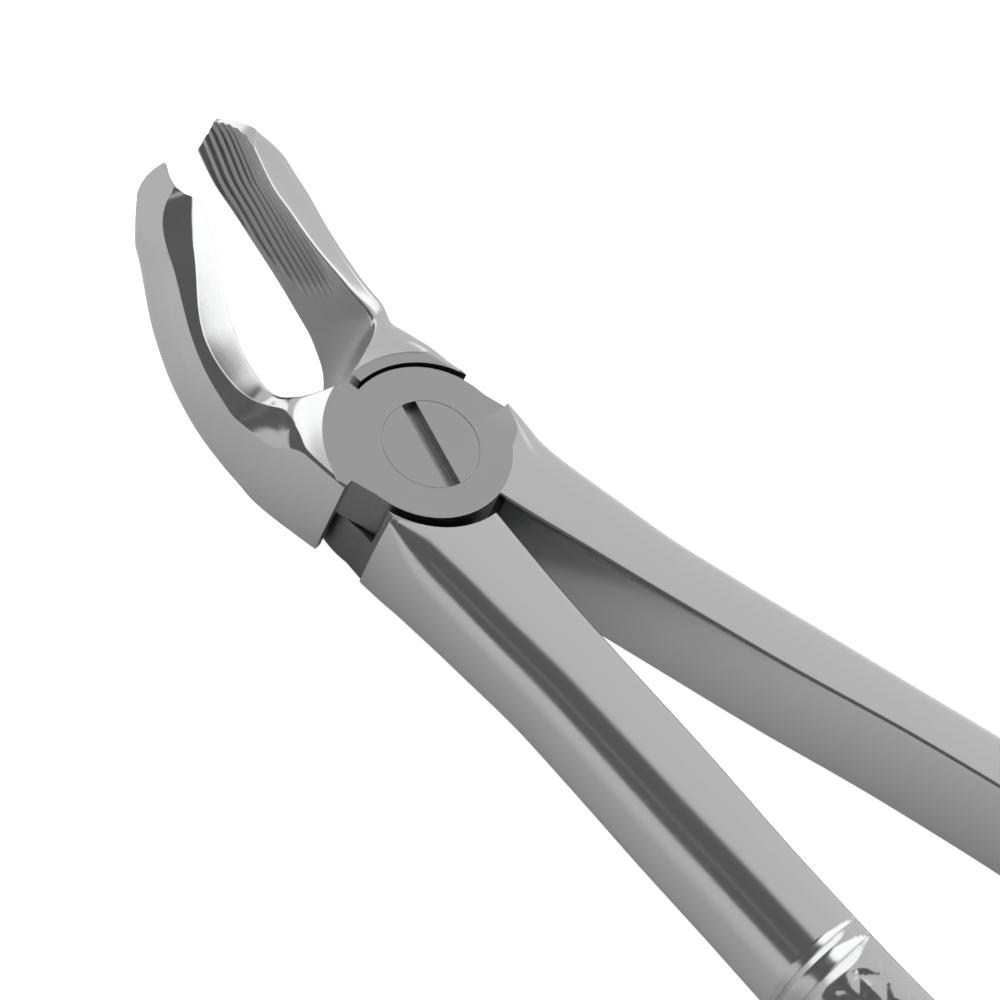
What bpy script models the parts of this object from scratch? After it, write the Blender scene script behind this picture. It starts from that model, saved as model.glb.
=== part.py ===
"""Extraction forceps for upper molars, English pattern, in stainless steel.

Two forged halves cross in a lap joint and turn on one slotted pivot screw. The front half carries the
pointed beak, the rear half the broad beak. The origin is on the pivot's axis, on the flat back of the joint:
+Z is the pivot's axis towards the screw's head, +X points to the beaks and the handles run to -X. The halves
lie at their usual working opening. Sizes are in millimetres times MM, which gives metres.
"""

import math

import bmesh
import bpy
from mathutils import Matrix, Vector

MM = 0.001

# Lap joint
JOINT_THICKNESS = 11.2 * MM
LAP_PLANE = JOINT_THICKNESS / 2
LAP_CLEARANCE = 0.1 * MM
FRONT_PLATE_RADIUS = 7.8 * MM
REAR_PLATE_RADIUS = 8.1 * MM
RECESS_MARGIN = 0.7 * MM
PLATE_SHIFT = 0.3 * MM
GUSSET_OUTER_X = 2.9 * MM
GUSSET_INNER_X = -1.1 * MM
GUSSET_DROP = 0.25 * MM
FRONT_CORNERS = (8.4 * MM, 8.3 * MM)
REAR_CORNERS = (8.3 * MM, 8.65 * MM)
FACE_RADIUS = 9.7 * MM
FORGING_ALLOWANCE = 0.12 * MM

# Pivot screw, M5 with a bearing shank
HEAD_RADIUS = 4.5 * MM
HEAD_THICKNESS = 2.4 * MM
SHANK_RADIUS = 3.0 * MM
SHANK_SEAT = 0.6 * MM
THREAD_MAJOR = 2.5 * MM
THREAD_MINOR = 2.05 * MM
THREAD_PITCH = 0.8 * MM
SLOT_WIDTH = 1.4 * MM
SLOT_DEPTH = 1.1 * MM
SLOT_ANGLE = math.radians(-24.6)
RUNNING_FIT = 0.05 * MM
THREAD_FIT = 0.06 * MM

# Beak tips, as places beside (front edge positive) and ahead of the middle of a beak's last station
SCALLOP_CENTRE = (3.75 * MM, 0.1 * MM)
SCALLOP_RADIUS = 3.2 * MM
POINT_FRONT = (0.15 * MM, -0.1 * MM)
POINT_BACK = (-0.3 * MM, 0.2 * MM)
CLAW_SHOULDER = (-2.6 * MM, -1.7 * MM)
CLAW_CORNER = (-3.8 * MM, -3.4 * MM)
NOSE_RADIUS = 5.5 * MM
NOSE_TOP = (-0.3 * MM, -0.5 * MM)
NOSE_BACK = (-3.8 * MM, -3.3 * MM)
TIP_REACH = 8 * MM
TIP_CUTTER_DEPTH = 30 * MM

# V rings turned into the outside of each handle where its grip starts
RING_PLACES = (55.7 * MM, 57.5 * MM)
RING_RADIUS = 5.5 * MM
RING_DEPTH = 0.55 * MM
RING_HALF_WIDTH = 1.0 * MM
RING_HEIGHT = 2.0 * MM

STEEL = (0.56, 0.57, 0.58, 1.0)
STEEL_ROUGHNESS = 0.22
ROUND_SEGMENTS = 72
THREAD_SEGMENTS = 24
CORNER_STEPS = 4
SIDE_STEPS = 4
STATION_STEPS = 3
BEAK_CROWN = 0.35
HANDLE_CROWN = 0.3 * MM
SMOOTH_BELOW = math.radians(32)

# Beak stations, in mm: x and z of the section's middle, inner face from the middle plane, thickness, width,
# hollow of the inner face, then the radii of the inner, the outer front and the outer back corners
POINTED_BEAK = (
    (2.7, 5.6, 0.35, 8.9, 11.44, 0.0, 0.3, 0.5, 0.5),
    (7.0, 5.6, 0.35, 9.4, 11.44, 0.0, 0.3, 1.0, 1.0),
    (9.7, 5.6, 0.45, 9.4, 11.44, 0.0, 0.3, 1.6, 1.3),
    (10.8, 5.7, 2.65, 7.05, 11.3, 0.0, 0.5, 2.0, 1.5),
    (11.8, 5.85, 4.3, 5.4, 11.0, 0.0, 0.8, 2.2, 1.6),
    (13.1, 6.2, 5.45, 4.25, 10.6, 0.0, 1.0, 2.0, 1.6),
    (15.1, 7.05, 6.3, 3.5, 9.9, 0.1, 1.0, 1.7, 1.5),
    (18.0, 8.9, 6.55, 3.3, 8.8, 0.3, 0.9, 1.4, 1.4),
    (22.3, 12.4, 5.8, 3.4, 8.0, 0.6, 0.8, 1.5, 1.5),
    (27.8, 18.0, 3.8, 3.3, 7.7, 0.8, 0.6, 1.5, 1.5),
    (30.2, 20.7, 3.6, 1.9, 7.6, 0.5, 0.4, 1.1, 1.1),
    (32.4, 23.1, 2.9, 0.6, 7.5, 0.1, 0.2, 0.3, 0.3),
)
BROAD_BEAK = (
    (2.7, 5.6, 0.35, 8.7, 11.44, 0.0, 0.3, 1.7, 0.5),
    (7.0, 5.6, 0.35, 8.5, 11.44, 0.0, 0.3, 2.4, 1.0),
    (9.7, 5.6, 0.45, 8.2, 11.44, 0.0, 0.3, 2.9, 1.3),
    (10.8, 5.7, 2.7, 5.8, 11.3, 0.0, 0.5, 2.9, 1.5),
    (11.7, 5.85, 4.6, 3.8, 11.0, 0.0, 0.8, 2.4, 1.6),
    (12.9, 6.15, 5.9, 2.6, 10.6, 0.0, 1.0, 1.6, 1.3),
    (14.9, 6.95, 6.7, 2.1, 9.9, 0.1, 0.9, 1.3, 1.2),
    (18.0, 8.9, 6.5, 2.3, 8.8, 0.3, 0.9, 1.3, 1.2),
    (22.3, 12.4, 5.7, 3.0, 8.0, 0.6, 0.7, 1.4, 1.3),
    (27.8, 18.0, 4.2, 3.3, 7.7, 0.9, 0.5, 1.3, 1.3),
    (30.2, 20.7, 4.0, 2.1, 7.6, 1.0, 0.4, 1.0, 1.0),
    (31.9, 22.6, 3.95, 0.9, 7.5, 0.9, 0.2, 0.4, 0.4),
)
# Handle stations, in mm: x and y of the inner face, z of the middle, thickness, width, then the radii of the
# inner, the outer front and the outer back corners
HANDLE = (
    (-2.6, 0.35, 5.6, 8.6, 11.4, 0.3, 0.5, 0.4),
    (-6.0, 0.5, 5.5, 8.8, 11.3, 0.3, 2.8, 0.7),
    (-9.5, 1.1, 5.35, 8.5, 11.1, 0.4, 4.2, 1.2),
    (-16.0, 2.4, 5.15, 7.9, 11.0, 0.6, 4.6, 2.0),
    (-24.7, 4.0, 5.0, 7.3, 11.1, 0.6, 4.2, 2.6),
    (-36.3, 6.1, 5.0, 7.3, 11.4, 0.6, 3.7, 2.8),
    (-50.0, 8.9, 5.1, 6.9, 11.8, 0.6, 3.2, 3.0),
    (-66.0, 11.4, 5.1, 6.9, 12.2, 0.6, 3.2, 3.1),
    (-85.0, 13.1, 5.1, 7.1, 12.8, 0.6, 3.2, 3.2),
    (-105.0, 13.5, 5.2, 7.4, 13.2, 0.6, 3.3, 3.3),
    (-122.0, 12.8, 5.4, 7.4, 13.0, 0.7, 3.3, 3.3),
    (-133.0, 12.0, 5.5, 6.8, 12.0, 0.9, 3.0, 3.0),
    (-137.6, 11.8, 5.6, 5.8, 10.0, 1.2, 2.4, 2.4),
    (-140.0, 12.1, 5.6, 3.6, 6.4, 1.2, 1.6, 1.6),
)


def clear_scene():
    for obj in list(bpy.data.objects):
        bpy.data.objects.remove(obj)


def steel_material(name):
    material = bpy.data.materials.new(name)
    material.use_nodes = True
    shader = material.node_tree.nodes["Principled BSDF"]
    shader.inputs["Base Color"].default_value = STEEL
    shader.inputs["Metallic"].default_value = 1.0
    shader.inputs["Roughness"].default_value = STEEL_ROUGHNESS
    return material


# Outlines, as lists of (x, y)


def arc(centre, radius, start, end, steps):
    angles = [math.radians(start + (end - start) * step / steps) for step in range(steps + 1)]
    return [(centre[0] + radius * math.cos(angle), centre[1] + radius * math.sin(angle)) for angle in angles]


def between(start, end):
    """Points that divide a straight side, without its ends."""
    parts = [step / SIDE_STEPS for step in range(1, SIDE_STEPS)]
    return [(start[0] + (end[0] - start[0]) * t, start[1] + (end[1] - start[1]) * t) for t in parts]


def section(thickness, width, radii, hollow, crown):
    """Closed outline of (outward, upward) points: a rectangle with round corners, its inner side hollowed and
    its outer side crowned by the amounts given. radii are those of the inner, outer front and outer back."""
    half = width / 2
    inner_radius, front_radius, back_radius = radii
    outline = []
    for a, b, radius, start in (
        (0.0, half, inner_radius, 90),
        (0.0, -half, inner_radius, 180),
        (thickness, -half, back_radius, 270),
        (thickness, half, front_radius, 0),
    ):
        centre = (a + math.copysign(radius, thickness / 2 - a), b - math.copysign(radius, b))
        corner = arc(centre, radius, start, start + 90, CORNER_STEPS)
        if outline:
            outline += between(outline[-1], corner[0])
        outline += corner
    outline += between(outline[-1], outline[0])
    return [bulged(point, thickness, half, hollow, crown) for point in outline]


def bulged(point, thickness, half, hollow, crown):
    a, b = point
    outwardness = a / thickness
    middle = 1 - (b / half) ** 2
    return a + middle * (hollow * (1 - outwardness) + crown * outwardness), b


def smooth_table(rows):
    """The stations with STATION_STEPS intervals between each two, every column on a Catmull-Rom curve."""
    table = [rows[0], *rows, rows[-1]]
    result = []
    for index in range(1, len(table) - 2):
        columns = list(zip(*table[index - 1 : index + 3]))
        for step in range(STATION_STEPS):
            t = step / STATION_STEPS
            weights = (
                (-t + 2 * t**2 - t**3) / 2,
                (2 - 5 * t**2 + 3 * t**3) / 2,
                (t + 4 * t**2 - 3 * t**3) / 2,
                (-(t**2) + t**3) / 2,
            )
            result.append([sum(w * value for w, value in zip(weights, column)) for column in columns])
    result.append(list(rows[-1]))
    return result


# Meshes


def loft(rings):
    """A closed mesh through rings of equal point count, with flat caps."""
    bm = bmesh.new()
    loops = [[bm.verts.new(point) for point in ring] for ring in rings]
    for near, far in zip(loops, loops[1:]):
        for index in range(len(near)):
            following = (index + 1) % len(near)
            bm.faces.new((near[index], near[following], far[following], far[index]))
    bm.faces.new(loops[0])
    bm.faces.new(loops[-1])
    bmesh.ops.recalc_face_normals(bm, faces=bm.faces)
    return bm


def cylinder(radius, bottom, top, centre_x=0.0):
    bm = bmesh.new()
    bmesh.ops.create_cone(
        bm,
        cap_ends=True,
        segments=ROUND_SEGMENTS,
        radius1=radius,
        radius2=radius,
        depth=top - bottom,
        matrix=Matrix.Translation((centre_x, 0, (bottom + top) / 2)),
    )
    return bm


def prism(outline, depth, matrix):
    """An outline in the matrix's XY plane, extruded to both sides along its Z."""
    bm = bmesh.new()
    face = bm.faces.new([bm.verts.new((x, y, -depth / 2)) for x, y in outline])
    extruded = bmesh.ops.extrude_face_region(bm, geom=[face])
    moved = [item for item in extruded["geom"] if isinstance(item, bmesh.types.BMVert)]
    bmesh.ops.translate(bm, verts=moved, vec=(0, 0, depth))
    bmesh.ops.recalc_face_normals(bm, faces=bm.faces)
    bmesh.ops.transform(bm, matrix=matrix, verts=bm.verts)
    return bm


def turned(profile, matrix=Matrix()):
    """A closed (radius, height) profile spun about the matrix's Z."""
    bm = bmesh.new()
    verts = [bm.verts.new((radius, 0, height)) for radius, height in profile]
    edges = [bm.edges.new((vert, verts[index - 1])) for index, vert in enumerate(verts)]
    bmesh.ops.spin(
        bm,
        geom=verts + edges,
        cent=(0, 0, 0),
        axis=(0, 0, 1),
        angle=2 * math.pi,
        steps=ROUND_SEGMENTS,
        use_merge=True,
    )
    bmesh.ops.recalc_face_normals(bm, faces=bm.faces)
    bmesh.ops.transform(bm, matrix=matrix, verts=bm.verts)
    return bm


def thread(bottom, top, fit=0.0):
    """A right-handed screw thread about Z whose blunt ends lie beyond bottom and top. fit widens it."""
    levels = (THREAD_MINOR, THREAD_MINOR, THREAD_MAJOR, THREAD_MAJOR)
    rises = (0.0, 0.2, 0.5, 0.7)
    turns = math.ceil((top - bottom) / THREAD_PITCH) + 3
    start = bottom - 2 * THREAD_PITCH
    bm = bmesh.new()
    columns = []
    for segment in range(THREAD_SEGMENTS):
        angle = 2 * math.pi * segment / THREAD_SEGMENTS
        lead = THREAD_PITCH * segment / THREAD_SEGMENTS
        column = []
        for turn in range(turns):
            for level, rise in zip(levels, rises):
                radius = level + fit
                height = start + lead + (turn + rise) * THREAD_PITCH
                column.append(bm.verts.new((radius * math.cos(angle), radius * math.sin(angle), height)))
        columns.append(column)
    per_turn = len(levels)
    count = per_turn * turns
    for segment, column in enumerate(columns[:-1]):
        following = columns[segment + 1]
        for index in range(count - 1):
            bm.faces.new((column[index], following[index], following[index + 1], column[index + 1]))
    last, first = columns[-1], columns[0]
    for index in range(count - per_turn - 1):
        next_turn = index + per_turn
        bm.faces.new((last[index], first[next_turn], first[next_turn + 1], last[index + 1]))
    low = bm.verts.new((0, 0, start))
    high = bm.verts.new((0, 0, start + (turns + 1) * THREAD_PITCH))
    lower_rim = [column[0] for column in columns] + first[per_turn:0:-1]
    upper_rim = [first[-1], *[column[-1] for column in columns[1:]], *reversed(last[-per_turn:-1])]
    for rim, pole in ((lower_rim, low), (upper_rim, high)):
        for index, vert in enumerate(rim):
            bm.faces.new((vert, rim[(index + 1) % len(rim)], pole))
    bmesh.ops.recalc_face_normals(bm, faces=bm.faces)
    return bm


def add_object(name, bm, helper=False):
    mesh = bpy.data.meshes.new(name)
    bm.to_mesh(mesh)
    bm.free()
    obj = bpy.data.objects.new(name, mesh)
    bpy.context.scene.collection.objects.link(obj)
    if helper:
        obj.hide_render = True
        obj.display_type = "WIRE"
    return obj


def combine(obj, operation, name, bm):
    """Gives the object a Boolean with a new helper object made from bm."""
    modifier = obj.modifiers.new(name, "BOOLEAN")
    modifier.operation = operation
    modifier.solver = "EXACT"
    modifier.object = add_object(f"{obj.name}_{name}", bm, helper=True)


# Beaks and handles


def path_frames(rows, point_of, upward_of):
    """(point, forward, upward, station) at each smoothed station of a path."""
    table = smooth_table(rows)
    points = [Vector(point_of(row)) * MM for row in table]
    frames = []
    for index, row in enumerate(table):
        before = points[max(index - 1, 0)]
        after = points[min(index + 1, len(points) - 1)]
        forward = (after - before).normalized()
        frames.append((points[index], forward, Vector(upward_of(forward)), row))
    return frames


def beak_frames(stations):
    return path_frames(stations, lambda row: (row[0], 0, row[1]), lambda forward: (-forward.z, 0, forward.x))


def beak_blank(stations, side):
    """The beak from its shoulder to its tip. side is +1 towards +Y and -1 towards -Y."""
    rings = []
    for middle, _, upward, row in beak_frames(stations):
        inner, thickness, width, hollow, *radii = (value * MM for value in row[2:])
        outline = section(thickness, width, radii, hollow, BEAK_CROWN * hollow)
        rings.append([middle + Vector((0, side * (inner + a), 0)) + upward * b for a, b in outline])
    return loft(rings)


def handle_frames(side):
    def outward(backward):
        flat = Vector((backward.y, -backward.x, 0)) * side
        return flat.normalized()

    return path_frames(HANDLE, lambda row: (row[0], side * row[1], row[2]), outward)


def handle_blank(side):
    """The handle from its shoulder to its rounded end."""
    rings = []
    for inner, _, outward, row in handle_frames(side):
        thickness, width, *radii = (value * MM for value in row[3:])
        outline = section(thickness, width, radii, 0.0, HANDLE_CROWN)
        rings.append([inner + outward * a + Vector((0, 0, b)) for a, b in outline])
    return loft(rings)


def tip_matrix(stations):
    """Frame at a beak's end: X to its front edge, Y forward, Z across the beak."""
    middle, forward, upward, _ = beak_frames(stations)[-1]
    matrix = Matrix((upward, forward, upward.cross(forward))).transposed().to_4x4()
    matrix.translation = middle
    return matrix


def claw_surround():
    """All that lies outside the claw of the pointed beak: a straight back side and a scalloped front side."""
    scallop = arc(SCALLOP_CENTRE, SCALLOP_RADIUS, 196, 270, 14)
    front = (TIP_REACH, scallop[-1][1])
    outline = [CLAW_CORNER, CLAW_SHOULDER, POINT_BACK, POINT_FRONT, *scallop, front]
    outline += [(TIP_REACH, TIP_REACH), (-TIP_REACH, TIP_REACH), (-TIP_REACH, CLAW_CORNER[1])]
    return prism(outline, TIP_CUTTER_DEPTH, tip_matrix(POINTED_BEAK))


def nose_surround():
    """All that lies outside the round nose of the broad beak."""
    outline = [NOSE_BACK, *arc((NOSE_TOP[0], NOSE_TOP[1] - NOSE_RADIUS), NOSE_RADIUS, 97, 0, 16)]
    outline += [(TIP_REACH, outline[-1][1]), (TIP_REACH, TIP_REACH), (-TIP_REACH, TIP_REACH)]
    outline += [(-TIP_REACH, NOSE_BACK[1])]
    return prism(outline, TIP_CUTTER_DEPTH, tip_matrix(BROAD_BEAK))


def ring_cutter(side, distance):
    """A V-edged ring around the handle, at a distance behind the pivot."""
    inner, backward, outward, row = min(handle_frames(side), key=lambda frame: abs(frame[0].x + distance))
    centre = inner + outward * (row[3] * MM + HANDLE_CROWN - RING_DEPTH - RING_RADIUS)
    centre += backward * ((-distance - inner.x) / backward.x)
    along = Vector((backward.x, backward.y, 0)).normalized()
    matrix = Matrix((outward, along.cross(outward), along)).transposed().to_4x4()
    matrix.translation = centre
    outer = RING_RADIUS + RING_HEIGHT
    return turned(((RING_RADIUS, 0), (outer, -RING_HALF_WIDTH), (outer, RING_HALF_WIDTH)), matrix)


# The three pieces


def gusset(plate_radius, reach, beak_side, end):
    """Fills the corner between the round plate and a shoulder, at the beak (+1) or at the handle (-1)."""
    inner = (GUSSET_INNER_X, plate_radius - GUSSET_DROP)
    outline = [inner, (inner[0], 0), (GUSSET_OUTER_X, 0), (GUSSET_OUTER_X, reach)]
    outline = [(end * x, end * beak_side * y) for x, y in outline]
    thickness = JOINT_THICKNESS + 2 * FORGING_ALLOWANCE
    return prism(outline, thickness, Matrix.Translation((0, 0, LAP_PLANE)))


def forceps_half(name, beak, beak_side, plate_radius, corners):
    """A half with its joint faces milled, before its recess and its holes."""
    plate = cylinder(plate_radius, -FORGING_ALLOWANCE, JOINT_THICKNESS + FORGING_ALLOWANCE, PLATE_SHIFT)
    half = add_object(name, plate)
    combine(half, "UNION", "beak", beak_blank(beak, beak_side))
    combine(half, "UNION", "handle", handle_blank(-beak_side))
    for corner, reach, end in (("beak_gusset", corners[0], 1), ("handle_gusset", corners[1], -1)):
        combine(half, "UNION", corner, gusset(plate_radius, reach, beak_side, end))
    reach = JOINT_THICKNESS / 2
    combine(half, "DIFFERENCE", "front_mill", cylinder(FACE_RADIUS, JOINT_THICKNESS, JOINT_THICKNESS + reach))
    combine(half, "DIFFERENCE", "back_mill", cylinder(FACE_RADIUS, -reach, 0))
    for number, distance in enumerate(RING_PLACES):
        combine(half, "DIFFERENCE", f"ring_{number}", ring_cutter(-beak_side, distance))
    return half


def front_half():
    half = forceps_half("front_half", POINTED_BEAK, 1, FRONT_PLATE_RADIUS, FRONT_CORNERS)
    combine(half, "DIFFERENCE", "claw", claw_surround())
    floor = LAP_PLANE + LAP_CLEARANCE
    recess_radius = REAR_PLATE_RADIUS + RECESS_MARGIN
    combine(half, "DIFFERENCE", "recess", cylinder(recess_radius, -JOINT_THICKNESS, floor))
    seat = JOINT_THICKNESS - HEAD_THICKNESS
    top = 2 * JOINT_THICKNESS
    combine(half, "DIFFERENCE", "shank_hole", cylinder(SHANK_RADIUS + RUNNING_FIT, 0, top))
    combine(half, "DIFFERENCE", "head_seat", cylinder(HEAD_RADIUS + RUNNING_FIT, seat - RUNNING_FIT, top))
    return half


def rear_half():
    half = forceps_half("rear_half", BROAD_BEAK, -1, REAR_PLATE_RADIUS, REAR_CORNERS)
    combine(half, "DIFFERENCE", "nose", nose_surround())
    ceiling = LAP_PLANE - LAP_CLEARANCE
    recess_radius = FRONT_PLATE_RADIUS + RECESS_MARGIN
    top = 2 * JOINT_THICKNESS
    combine(half, "DIFFERENCE", "recess", cylinder(recess_radius, ceiling, top))
    seat = ceiling - SHANK_SEAT
    combine(half, "DIFFERENCE", "shank_seat", cylinder(SHANK_RADIUS + RUNNING_FIT, seat, top))
    combine(half, "DIFFERENCE", "thread", thread(0, seat, THREAD_FIT))
    return half


def pivot_screw():
    seat = LAP_PLANE - LAP_CLEARANCE - SHANK_SEAT + RUNNING_FIT
    head = JOINT_THICKNESS - HEAD_THICKNESS
    screw = add_object("pivot_screw", thread(0, seat))
    combine(screw, "INTERSECT", "length", cylinder(SHANK_RADIUS, 0, seat + RUNNING_FIT))
    combine(screw, "UNION", "shank", cylinder(SHANK_RADIUS, seat, JOINT_THICKNESS - SLOT_DEPTH))
    combine(screw, "UNION", "head", cylinder(HEAD_RADIUS, head, JOINT_THICKNESS))
    slot = [(x, y) for x in (-HEAD_RADIUS * 2, HEAD_RADIUS * 2) for y in (-SLOT_WIDTH / 2, SLOT_WIDTH / 2)]
    slot[2], slot[3] = slot[3], slot[2]
    place = Matrix.Translation((0, 0, JOINT_THICKNESS)) @ Matrix.Rotation(SLOT_ANGLE, 4, "Z")
    combine(screw, "DIFFERENCE", "slot", prism(slot, 2 * SLOT_DEPTH, place))
    return screw


def main():
    clear_scene()
    for piece in (front_half(), rear_half(), pivot_screw()):
        piece.data.materials.append(steel_material(f"{piece.name}_steel"))
        piece.data.shade_smooth()
        piece.data.set_sharp_from_angle(angle=SMOOTH_BELOW)


main()
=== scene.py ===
"""Extraction forceps: the steel looks of the two forged halves and their pivot screw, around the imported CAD.

The halves are lofted from stations along their beaks and handles, with the serrations in the broad beak, and
joined and milled as the real forgings are. The cross-hatched grips are welded on last. Tables are in
millimetres; meshes are in metres.
"""

import math

import bmesh
import bpy
import numpy as np
from mathutils import Matrix, Vector


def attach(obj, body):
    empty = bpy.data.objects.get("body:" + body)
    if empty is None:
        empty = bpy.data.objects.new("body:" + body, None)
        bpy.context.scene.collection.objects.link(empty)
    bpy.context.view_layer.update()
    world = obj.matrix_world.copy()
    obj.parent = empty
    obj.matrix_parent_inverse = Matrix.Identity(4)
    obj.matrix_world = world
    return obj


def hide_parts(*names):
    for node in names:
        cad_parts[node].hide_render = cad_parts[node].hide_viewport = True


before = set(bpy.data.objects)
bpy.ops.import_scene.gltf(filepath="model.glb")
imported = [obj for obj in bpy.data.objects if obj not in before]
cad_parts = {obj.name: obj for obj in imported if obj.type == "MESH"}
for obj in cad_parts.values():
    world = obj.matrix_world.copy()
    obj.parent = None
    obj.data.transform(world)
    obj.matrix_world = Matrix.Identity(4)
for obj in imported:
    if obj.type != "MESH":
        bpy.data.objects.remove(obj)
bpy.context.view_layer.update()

MM = 0.001

# The side of Y that each beak is on; its own handle is on the other side
POINTED, BROAD = 1, -1

# Lap joint, mm. Each plate turns in a recess with a margin around it and a clearance between the plates.
# The faces are milled out of forgings with some stock on them
FACE_Z = 11.2
LAP_Z = FACE_Z / 2
LAP_CLEARANCE = 0.1
FRONT_PLATE_RADIUS = 7.8
REAR_PLATE_RADIUS = 8.1
RECESS_MARGIN = 0.7
PLATE_SHIFT = 0.3
FRONT_FACE_RADIUS = 9.95
REAR_FACE_RADIUS = 9.58
STOCK = 0.12
MILLING_REACH = 5
BELOW_ALL = -9
ABOVE_ALL = 20

# Gussets fill the corners between a plate and its beak or handle, between these x. The reaches are to
# the beak's and to the handle's side, mm
GUSSET_START = -1.1
GUSSET_END = 2.9
GUSSET_INSET = 0.25
FRONT_GUSSETS = (8.4, 8.3)
REAR_GUSSETS = (8.3, 8.65)

# Pivot screw and the play around it, mm. The head's play is around it and under it
HEAD_RADIUS = 4.5
HEAD_THICKNESS = 2.4
HEAD_CHAMFER = 0.03
HEAD_PLAY = (0.015, 0.05)
SHANK_RADIUS = 3.0
SHANK_START = 4.95
SHANK_PLAY = 0.05
SCREW_END_RADIUS = 2.5
SCREW_END_PLAY = 0.06
SLOT_WIDTH = 1.4
SLOT_DEPTH = 1.1
SLOT_ANGLE = math.radians(-24.6)

# Beak stations, mm: x and z of the section's middle, inner face from the middle plane, thickness, width,
# hollow of the inner face, then the radii of the inner, the outer front and the outer back corners
POINTED_BEAK = (
    (2.7, 5.6, 0.35, 8.9, 11.44, 0.0, 0.3, 0.35, 0.5),
    (4.2, 5.6, 0.35, 9.1, 11.44, 0.0, 0.3, 0.3, 0.7),
    (7.3, 5.6, 0.35, 9.4, 11.44, 0.0, 0.3, 0.35, 1.0),
    (8.6, 5.6, 0.38, 9.45, 11.44, 0.0, 0.3, 1.2, 1.1),
    (9.7, 5.6, 0.45, 9.4, 11.44, 0.0, 0.3, 1.6, 1.3),
    (10.8, 5.7, 2.75, 6.95, 11.35, 0.0, 0.4, 1.8, 1.5),
    (11.8, 5.85, 4.6, 5.1, 11.2, 0.0, 0.5, 1.9, 1.6),
    (13.1, 6.2, 5.9, 3.8, 10.8, 0.0, 0.5, 2.1, 1.6),
    (15.1, 7.05, 6.6, 3.2, 10.0, 0.1, 0.5, 1.9, 1.5),
    (18.0, 8.95, 6.65, 3.2, 8.9, 0.3, 0.45, 1.1, 1.4),
    (22.3, 12.4, 5.8, 3.4, 8.0, 0.6, 0.4, 0.72, 1.5),
    (27.8, 18.0, 3.8, 3.35, 7.7, 0.8, 0.3, 1.5, 1.6),
    (29.3, 19.7, 3.62, 3.1, 7.65, 0.6, 0.25, 1.8, 1.4),
    (29.9, 20.35, 3.55, 2.85, 7.62, 0.5, 0.25, 1.85, 1.2),
    (30.8, 21.3, 3.41, 2.25, 7.6, 0.4, 0.2, 1.7, 1.0),
    (31.5, 22.08, 3.2, 1.85, 7.55, 0.25, 0.18, 0.5, 0.85),
    (32.4, 23.1, 2.9, 1.3, 7.5, 0.1, 0.15, 0.3, 0.7),
    (33.1, 23.9, 2.65, 0.9, 7.5, 0.1, 0.15, 0.2, 0.5),
)
BROAD_BEAK = (
    (2.7, 5.6, 0.35, 8.7, 11.44, 0.0, 0.3, 1.7, 0.5),
    (7.0, 5.6, 0.35, 8.5, 11.44, 0.0, 0.3, 2.4, 1.0),
    (9.7, 5.6, 0.45, 8.2, 11.44, 0.0, 0.3, 2.9, 1.3),
    (10.8, 5.7, 2.7, 5.8, 11.3, 0.0, 0.4, 2.9, 1.5),
    (11.7, 5.85, 4.6, 3.8, 11.1, 0.0, 0.5, 2.2, 1.6),
    (12.9, 6.15, 5.9, 2.7, 10.7, 0.0, 0.5, 1.2, 1.3),
    (14.9, 7.0, 6.7, 2.3, 10.0, 0.1, 0.45, 0.9, 1.2),
    (18.0, 8.95, 6.5, 2.5, 8.9, 0.3, 0.4, 0.9, 1.2),
    (22.3, 12.4, 5.7, 3.2, 8.0, 0.6, 0.35, 0.9, 1.3),
    (25.0, 15.1, 4.98, 3.65, 7.85, 0.75, 0.3, 0.9, 1.3),
    (27.6, 17.8, 4.25, 3.8, 7.7, 0.9, 0.25, 0.9, 1.3),
    (29.3, 19.7, 4.08, 2.95, 7.65, 1.0, 0.2, 0.8, 1.2),
    (30.5, 21.05, 4.0, 1.95, 7.6, 1.0, 0.2, 0.6, 0.9),
    (31.3, 21.95, 3.97, 1.3, 7.55, 0.8, 0.15, 0.4, 0.6),
    (31.9, 22.6, 3.95, 0.8, 7.5, 0.5, 0.15, 0.2, 0.25),
)
BEAK_BLUR = 0.35
BEAK_STEP = 0.2
BEAK_TANGENT = 0.4

# The front of each beak's root climbs away from the milled face: from how far out from the pivot, over
# what distance and how high. It fades between two x, and is full at a share of the width from the middle
ROOT_RAMP = {POINTED: (9.7, 3.7, 1.15), BROAD: (9.6, 1.2, 0.35)}
ROOT_FADE = {POINTED: (12.2, 16.2), BROAD: (10.5, 13.5)}
ROOT_ONSET = 0.35
RAMP_EASE = 0.25

# Each beak's front leans down to the outside, by so much for each mm out. The lean sets in with the
# distance from the pivot, and is full a fifth of the width in front of the middle
BEAK_SLANT = {POINTED: 0.52, BROAD: 0.22}
SLANT_START = 12.8
SLANT_RUN = 3.4
SLANT_ONSET = 5

# A beak's front is crowned from an x on. Its outside's crown is a share of the inner face's hollow
BEAK_CROWN = 0.05
CROWN_START = 12.0
CROWN_RUN = 4.0
OUTSIDE_CROWN = 0.35

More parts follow.
